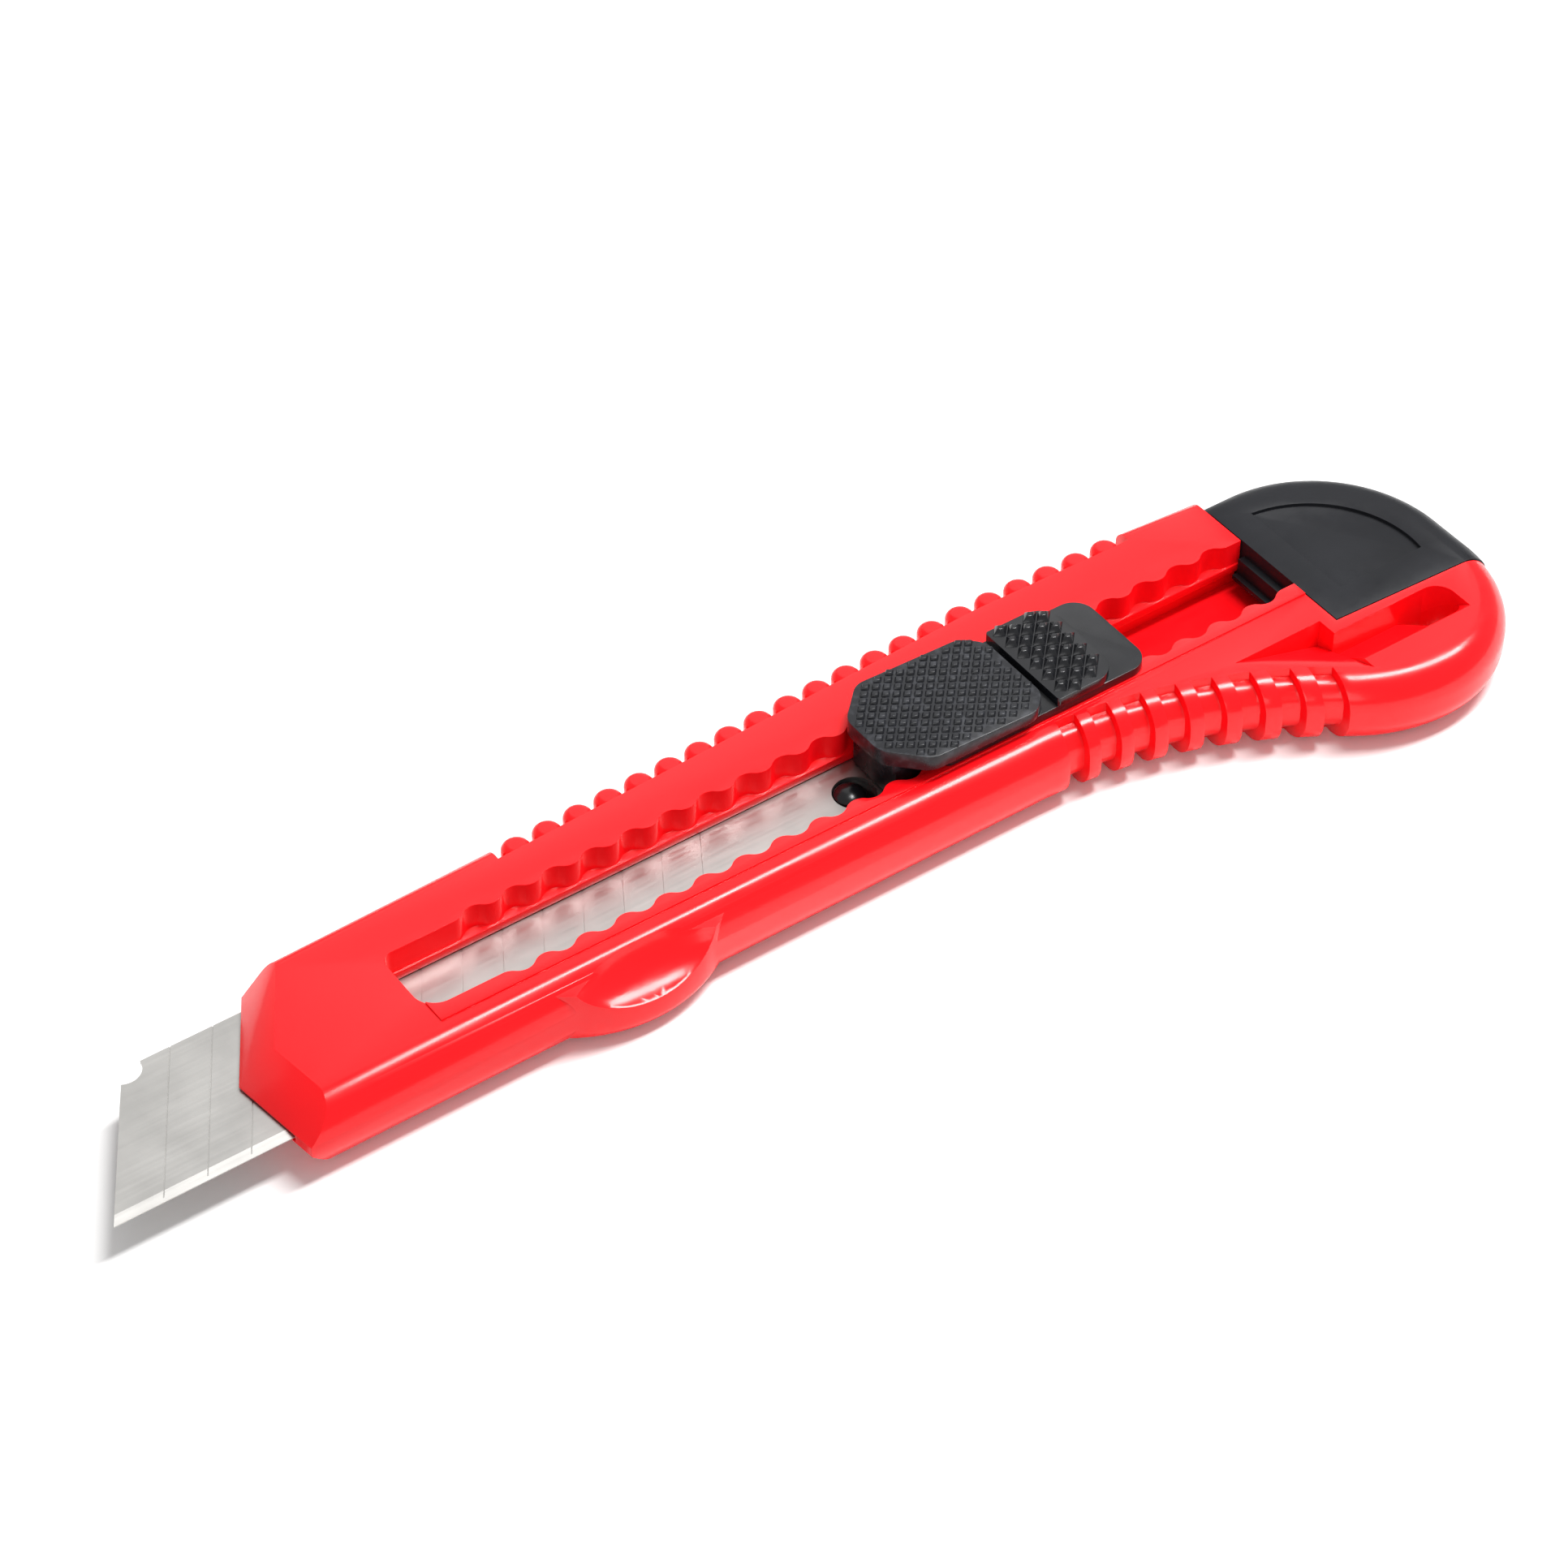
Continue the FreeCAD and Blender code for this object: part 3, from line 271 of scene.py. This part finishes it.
def cap_plastic(settings):
    """Satin moulded plastic with a fine spark-eroded grain."""
    material, nodes, links, shader = new_material("cap_plastic")
    cloud = object_noise(nodes, links, scale=120.0, detail=3.0)
    patches = spread(nodes, links, cloud, low=0.0, high=1.0)
    shade(nodes, links, shader, patches, settings.fitting_colour, start=0.85, end=1.2)
    wear = object_noise(nodes, links, scale=500.0, detail=4.0)
    links.new(spread(nodes, links, wear, low=0.33, high=0.45), shader.inputs["Roughness"])
    grain = object_noise(nodes, links, scale=2600.0, detail=3.0)
    add_grain(nodes, links, shader, grain, depth=0.012 * MM, strength=0.6)
    shader.inputs["Specular IOR Level"].default_value = 0.2
    return material


def button_plastic(settings):
    """Soft-looking plastic: dull, with paler specks that are painted glints."""
    material, nodes, links, shader = new_material("button_plastic")
    colour = scaled(settings.fitting_colour, BUTTON_SHADE)
    # paler specks from noise, mixed into the button's colour: painted glints
    glinting = object_noise(nodes, links, scale=900.0, detail=5.0)
    spots = spread(nodes, links, glinting, low=0.0, high=0.6, start=0.5, end=0.8)
    tint(nodes, links, shader, spots, colour, settings.glinting_colour)
    wear = object_noise(nodes, links, scale=650.0, detail=4.0)
    links.new(spread(nodes, links, wear, low=0.24, high=0.42), shader.inputs["Roughness"])
    grain = object_noise(nodes, links, scale=1800.0, detail=4.0)
    add_grain(nodes, links, shader, grain, depth=0.015 * MM, strength=0.6)
    shader.inputs["Specular IOR Level"].default_value = 0.35
    return material


def carrier_plastic(settings):
    """Black plastic with a higher gloss, for the pin, the cover and the pyramids."""
    material, nodes, links, shader = new_material("carrier_plastic")
    colour = scaled(settings.fitting_colour, CARRIER_SHADE)
    cloud = object_noise(nodes, links, scale=200.0, detail=3.0)
    patches = spread(nodes, links, cloud, low=0.0, high=1.0)
    shade(nodes, links, shader, patches, colour, start=0.8, end=1.3)
    wear = object_noise(nodes, links, scale=500.0, detail=3.0)
    links.new(spread(nodes, links, wear, low=0.16, high=0.28), shader.inputs["Roughness"])
    grain = object_noise(nodes, links, scale=2400.0, detail=3.0)
    add_grain(nodes, links, shader, grain, depth=0.006 * MM, strength=0.6)
    return material


def blade_steel(settings):
    """Ground strip steel: fine grinding lines and a few stains."""
    material, nodes, links, shader = new_material("blade_steel")
    shader.inputs["Metallic"].default_value = 1.0
    stain = object_noise(nodes, links, scale=160.0, detail=5.0)
    stains = spread(nodes, links, stain, low=0.0, high=1.0, start=0.35, end=0.8)
    shade(nodes, links, shader, stains, settings.steel_colour, start=1.0, end=0.8)
    lines = object_noise(nodes, links, scale=2500.0, detail=2.0, stretch=(0.03, 1.0, 1.0))
    links.new(spread(nodes, links, lines, low=0.36, high=0.46), shader.inputs["Roughness"])
    add_grain(nodes, links, shader, lines, depth=0.002 * MM, strength=0.5)
    return material


def spring_steel(settings):
    """Bright rolled strip."""
    material, nodes, links, shader = new_material("spring_steel")
    shader.inputs["Metallic"].default_value = 1.0
    rolled = object_noise(nodes, links, scale=1500.0, detail=2.0, stretch=(0.05, 0.05, 1.0))
    streaks = spread(nodes, links, rolled, low=0.0, high=1.0)
    tint(nodes, links, shader, streaks, settings.spring_colour, settings.spring_shine)
    links.new(spread(nodes, links, rolled, low=0.22, high=0.35), shader.inputs["Roughness"])
    return material


def floor_white():
    """Plain matt floor."""
    material, nodes, links, shader = new_material("floor_white")
    shader.inputs["Base Color"].default_value = (*FLOOR_COLOUR, 1.0)
    shader.inputs["Roughness"].default_value = FLOOR_ROUGHNESS
    return material


# ---- shells: the CAD shapes with their moulded edge rounds ----
def rounded_shell(node, name, body, material, width):
    """A merged copy of a CAD node with its sharp edges rounded; it stands for the node."""
    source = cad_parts[node]
    shell = add_object(name, source.data.copy())
    make_active(shell)
    bpy.ops.object.mode_set(mode="EDIT")
    bpy.ops.mesh.select_all(action="SELECT")
    bpy.ops.mesh.remove_doubles(threshold=SAME_POINT)
    bpy.ops.mesh.dissolve_limited(angle_limit=SAME_PLANE)
    bpy.ops.object.mode_set(mode="OBJECT")
    if "custom_normal" in shell.data.attributes:
        shell.data.attributes.remove(shell.data.attributes["custom_normal"])
    if width > 0:
        round_edges(shell, width, SHARP_EDGE)
    bpy.ops.object.shade_smooth_by_angle(angle=SHARP_EDGE)
    give_material(shell, material)
    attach(shell, body)
    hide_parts(node)
    return shell


# ---- stage ----
def add_floor():
    deselect()
    bpy.ops.mesh.primitive_plane_add(size=FLOOR_SIZE, location=(0, 0, 0))
    floor = bpy.context.object
    floor.name = "floor"
    give_material(floor, floor_white())


def light_room(scene):
    """Even white light from all round."""
    world = bpy.data.worlds.new("studio")
    world.use_nodes = True
    background = world.node_tree.nodes["Background"]
    background.inputs["Color"].default_value = (*ROOM_COLOUR, 1.0)
    background.inputs["Strength"].default_value = ROOM_LIGHT
    scene.world = world


def add_lamp(name, target, direction, distance, width, depth, power):
    """A rectangular soft lamp that faces the target from the given direction."""
    light = bpy.data.lights.new(name, "AREA")
    light.shape = "RECTANGLE"
    light.size = width
    light.size_y = depth
    light.energy = power
    lamp = add_object(name, light)
    toward = Vector(direction).normalized()
    lamp.location = target + toward * distance
    up = toward.cross(Vector((1, 0, 0))).normalized()
    side = up.cross(toward).normalized()
    lamp.rotation_euler = Matrix((side, up, toward)).transposed().to_euler()


def aim_point():
    """The point that the camera and the lamps face: over the blade, at the cap's height."""
    whole_low, whole_high = (Vector(corner) for corner in CAD_BOX)
    blade_low, blade_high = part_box("blade")
    cap_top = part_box("end_cap")[1].z
    x = (whole_low.x + whole_high.x) / 2 + AIM_BEHIND_MIDDLE
    y = (blade_low.y + blade_high.y) / 2 + AIM_TOWARDS_SPINE
    return Vector((x, y, cap_top))


def add_camera(target):
    """The camera, turned round the target by its azimuth, elevation and roll."""
    camera = bpy.data.cameras.new("camera")
    camera.lens = CAMERA_LENS
    camera.sensor_width = CAMERA_SENSOR
    camera.clip_start = CAMERA_CLIP
    eye = add_object("camera", camera)
    level = math.cos(CAMERA_ELEVATION)
    back = Vector((math.sin(CAMERA_AZIMUTH) * level,
                   -math.cos(CAMERA_AZIMUTH) * level, math.sin(CAMERA_ELEVATION)))
    right = (-back).cross(Vector((0, 0, 1))).normalized()
    up = right.cross(-back)
    side = right * math.cos(CAMERA_ROLL) + up * math.sin(CAMERA_ROLL)
    top = up * math.cos(CAMERA_ROLL) - right * math.sin(CAMERA_ROLL)
    turn = Matrix((side, top, back)).transposed().to_4x4()
    eye.matrix_world = Matrix.Translation(target + back * CAMERA_DISTANCE) @ turn
    return eye


class KNIFE_OT_stage(bpy.types.Operator):
    """Set the floor, the lights and the camera"""
    bl_idname = "knife.stage"
    bl_label = "Stage"

    def execute(self, context):
        target = aim_point()
        add_floor()
        light_room(context.scene)
        add_lamp("far_softbox", target, direction=(0.41, 0.62, 0.67),
                 distance=0.9, width=0.8, depth=0.8, power=1.3)
        add_lamp("top_strip", target, direction=(0.41, -0.05, 0.91),
                 distance=0.8, width=0.6, depth=0.15, power=9.0)
        add_lamp("near_fill", target, direction=(-0.55, -0.70, 0.46),
                 distance=0.9, width=0.5, depth=0.5, power=1.6)
        add_lamp("back_card", target, direction=(-0.35, 0.90, 0.25),
                 distance=0.9, width=0.9, depth=0.4, power=0.4)
        context.scene.camera = add_camera(target)
        context.scene.view_settings.view_transform = "Standard"
        return {"FINISHED"}


# ---- plain pieces ----
class KNIFE_OT_casing(bpy.types.Operator):
    """Finish the moulded casing"""
    bl_idname = "knife.casing"
    bl_label = "Casing"

    def execute(self, context):
        settings = context.scene.knife_settings
        rounded_shell("body", "casing", "casing",
                      casing_plastic(settings), settings.edge_round)
        return {"FINISHED"}


class KNIFE_OT_cap(bpy.types.Operator):
    """Finish the end cap"""
    bl_idname = "knife.cap"
    bl_label = "End cap"

    def execute(self, context):
        settings = context.scene.knife_settings
        rounded_shell("end_cap", "cap", "cap",
                      cap_plastic(settings), settings.edge_round)
        return {"FINISHED"}


class KNIFE_OT_blade(bpy.types.Operator):
    """Finish the blade and the lock spring"""
    bl_idname = "knife.blade"
    bl_label = "Blade and spring"

    def execute(self, context):
        settings = context.scene.knife_settings
        give_material(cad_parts["blade"], blade_steel(settings))
        give_material(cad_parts["lock_spring"], spring_steel(settings))
        return {"FINISHED"}


# ---- pads ----
def grid_bump(name, steps, foot, top, height, edge):
    """One flat-topped bump on a parallelogram: foot is its share of the grid's two steps,
    and top is the share of the foot that its flat top covers."""
    first, second = (step * foot for step in steps)
    deselect()
    bpy.ops.mesh.primitive_cube_add(size=1.0, location=(0, 0, 0.5))
    bump = bpy.context.object
    bump.name = name
    bpy.ops.object.mode_set(mode="EDIT")
    bpy.ops.mesh.select_mode(type="FACE")
    bpy.ops.mesh.select_all(action="DESELECT")
    bpy.ops.object.mode_set(mode="OBJECT")
    bpy.ops.object.transform_apply(location=True, rotation=False, scale=False)
    for face in bump.data.polygons:
        face.select = face.normal.z > LOOKS_UP
    bpy.ops.object.mode_set(mode="EDIT")
    bpy.ops.transform.resize(value=(top, top, 1.0), center_override=(0, 0, 0))
    bpy.ops.object.mode_set(mode="OBJECT")
    slant = Matrix(((first.x, second.x, 0, 0), (first.y, second.y, 0, 0),
                    (0, 0, height, 0), (0, 0, 0, 1)))
    bump.data.transform(slant)
    round_edges(bump, edge, GRID_SHARP_EDGE)
    return bump


def fill_pad(name, bump, steps, centre, inside, level):
    """Copies of the bump on every grid point that is inside, joined as one piece."""
    first, second = steps
    copies = []
    for i in range(-GRID_REACH, GRID_REACH + 1):
        for j in range(-GRID_REACH, GRID_REACH + 1):
            spot = centre + first * i + second * j
            if not inside(spot.x, spot.y):
                continue
            copy = add_object("%s_%d_%d" % (name, i, j), bump.data.copy())
            copy.data.transform(Matrix.Translation((spot.x, spot.y, level(spot.x))))
            copies.append(copy)
    bpy.data.objects.remove(bump)
    deselect()
    for copy in copies:
        copy.select_set(True)
    bpy.context.view_layer.objects.active = copies[0]
    bpy.ops.object.join()
    piece = bpy.context.object
    piece.name = name
    bpy.ops.object.shade_smooth_by_angle(angle=GRID_SMOOTH_EDGE)
    return piece


def octagon_test(low, high, cut_front, cut_rear, margin):
    """True for points inside a rectangle with cut corners, shrunk by the margin."""
    def inside(x, y):
        if not (low.x + margin < x < high.x - margin and low.y + margin < y < high.y - margin):
            return False
        edge = min(y - low.y, high.y - y)
        front = (x - low.x) + edge > cut_front + margin * SLANTED_MARGIN
        rear = (high.x - x) + edge > cut_rear + margin * SLANTED_MARGIN
        return front and rear
    return inside


class KNIFE_OT_carrier(bpy.types.Operator):
    """Finish the blade carrier and the pyramids on its rear pad"""
    bl_idname = "knife.carrier"
    bl_label = "Carrier"

    def execute(self, context):
        settings = context.scene.knife_settings
        material = carrier_plastic(settings)
        rounded_shell("blade_carrier", "carrier", "slider",
                      material, settings.edge_round)
        low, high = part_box("blade_carrier")
        pad_low = Vector((low.x + REAR_PAD_START, low.y, 0))
        pad_high = Vector((low.x + REAR_PAD_END, high.y, 0))
        bump = grid_bump("pyramid", PYRAMID_STEPS, PYRAMID_FOOT, PYRAMID_TOP,
                         settings.pyramid_height, PYRAMID_EDGE)
        inside = octagon_test(pad_low, pad_high, REAR_PAD_FRONT_CORNER,
                              REAR_PAD_REAR_CORNER, REAR_PAD_MARGIN)
        piece = fill_pad("rear_pad_pyramids", bump, PYRAMID_STEPS,
                         (pad_low + pad_high) / 2, inside, lambda x: high.z)
        give_material(piece, material)
        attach(piece, "slider")
        return {"FINISHED"}


class KNIFE_OT_button(bpy.types.Operator):
    """Finish the thumb button and its knurl"""
    bl_idname = "knife.button"
    bl_label = "Thumb button"

    def execute(self, context):
        settings = context.scene.knife_settings
        material = button_plastic(settings)
        rounded_shell("thumb_button", "button", "button",
                      material, settings.edge_round)
        low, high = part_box("thumb_button")
        bump = grid_bump("knurl", KNURL_STEPS, KNURL_FOOT, KNURL_TOP,
                         settings.knurl_height, KNURL_EDGE)
        inside = octagon_test(low, high, BUTTON_FRONT_CORNER,
                              BUTTON_REAR_CORNER, BUTTON_MARGIN)
        slope = BUTTON_FALL / (high.x - low.x)
        piece = fill_pad("button_knurl", bump, KNURL_STEPS, (low + high) / 2, inside,
                         lambda x: high.z - slope * (x - low.x) - KNURL_SUNK)
        give_material(piece, material)
        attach(piece, "button")
        return {"FINISHED"}


class KNIFE_PT_panel(bpy.types.Panel):
    bl_idname = "KNIFE_PT_panel"
    bl_label = "Snap-off knife"
    bl_space_type = "VIEW_3D"
    bl_region_type = "UI"
    bl_category = "Knife"

    def draw(self, context):
        settings = context.scene.knife_settings
        for name in KnifeSettings.__annotations__:
            self.layout.prop(settings, name)
        for operator in OPERATORS:
            self.layout.operator(operator.bl_idname)


OPERATORS = (
    KNIFE_OT_stage,
    KNIFE_OT_casing,
    KNIFE_OT_cap,
    KNIFE_OT_blade,
    KNIFE_OT_carrier,
    KNIFE_OT_button,
)


def register():
    for cls in (KnifeSettings, *OPERATORS, KNIFE_PT_panel):
        bpy.utils.register_class(cls)
    bpy.types.Scene.knife_settings = bpy.props.PointerProperty(type=KnifeSettings)


def unregister():
    del bpy.types.Scene.knife_settings
    for cls in (KNIFE_PT_panel, *reversed(OPERATORS), KnifeSettings):
        bpy.utils.unregister_class(cls)


def main():
    register()
    bpy.ops.knife.stage()
    bpy.ops.knife.casing()
    bpy.ops.knife.cap()
    bpy.ops.knife.blade()
    bpy.ops.knife.carrier()
    bpy.ops.knife.button()


if __name__ == "__main__":
    main()
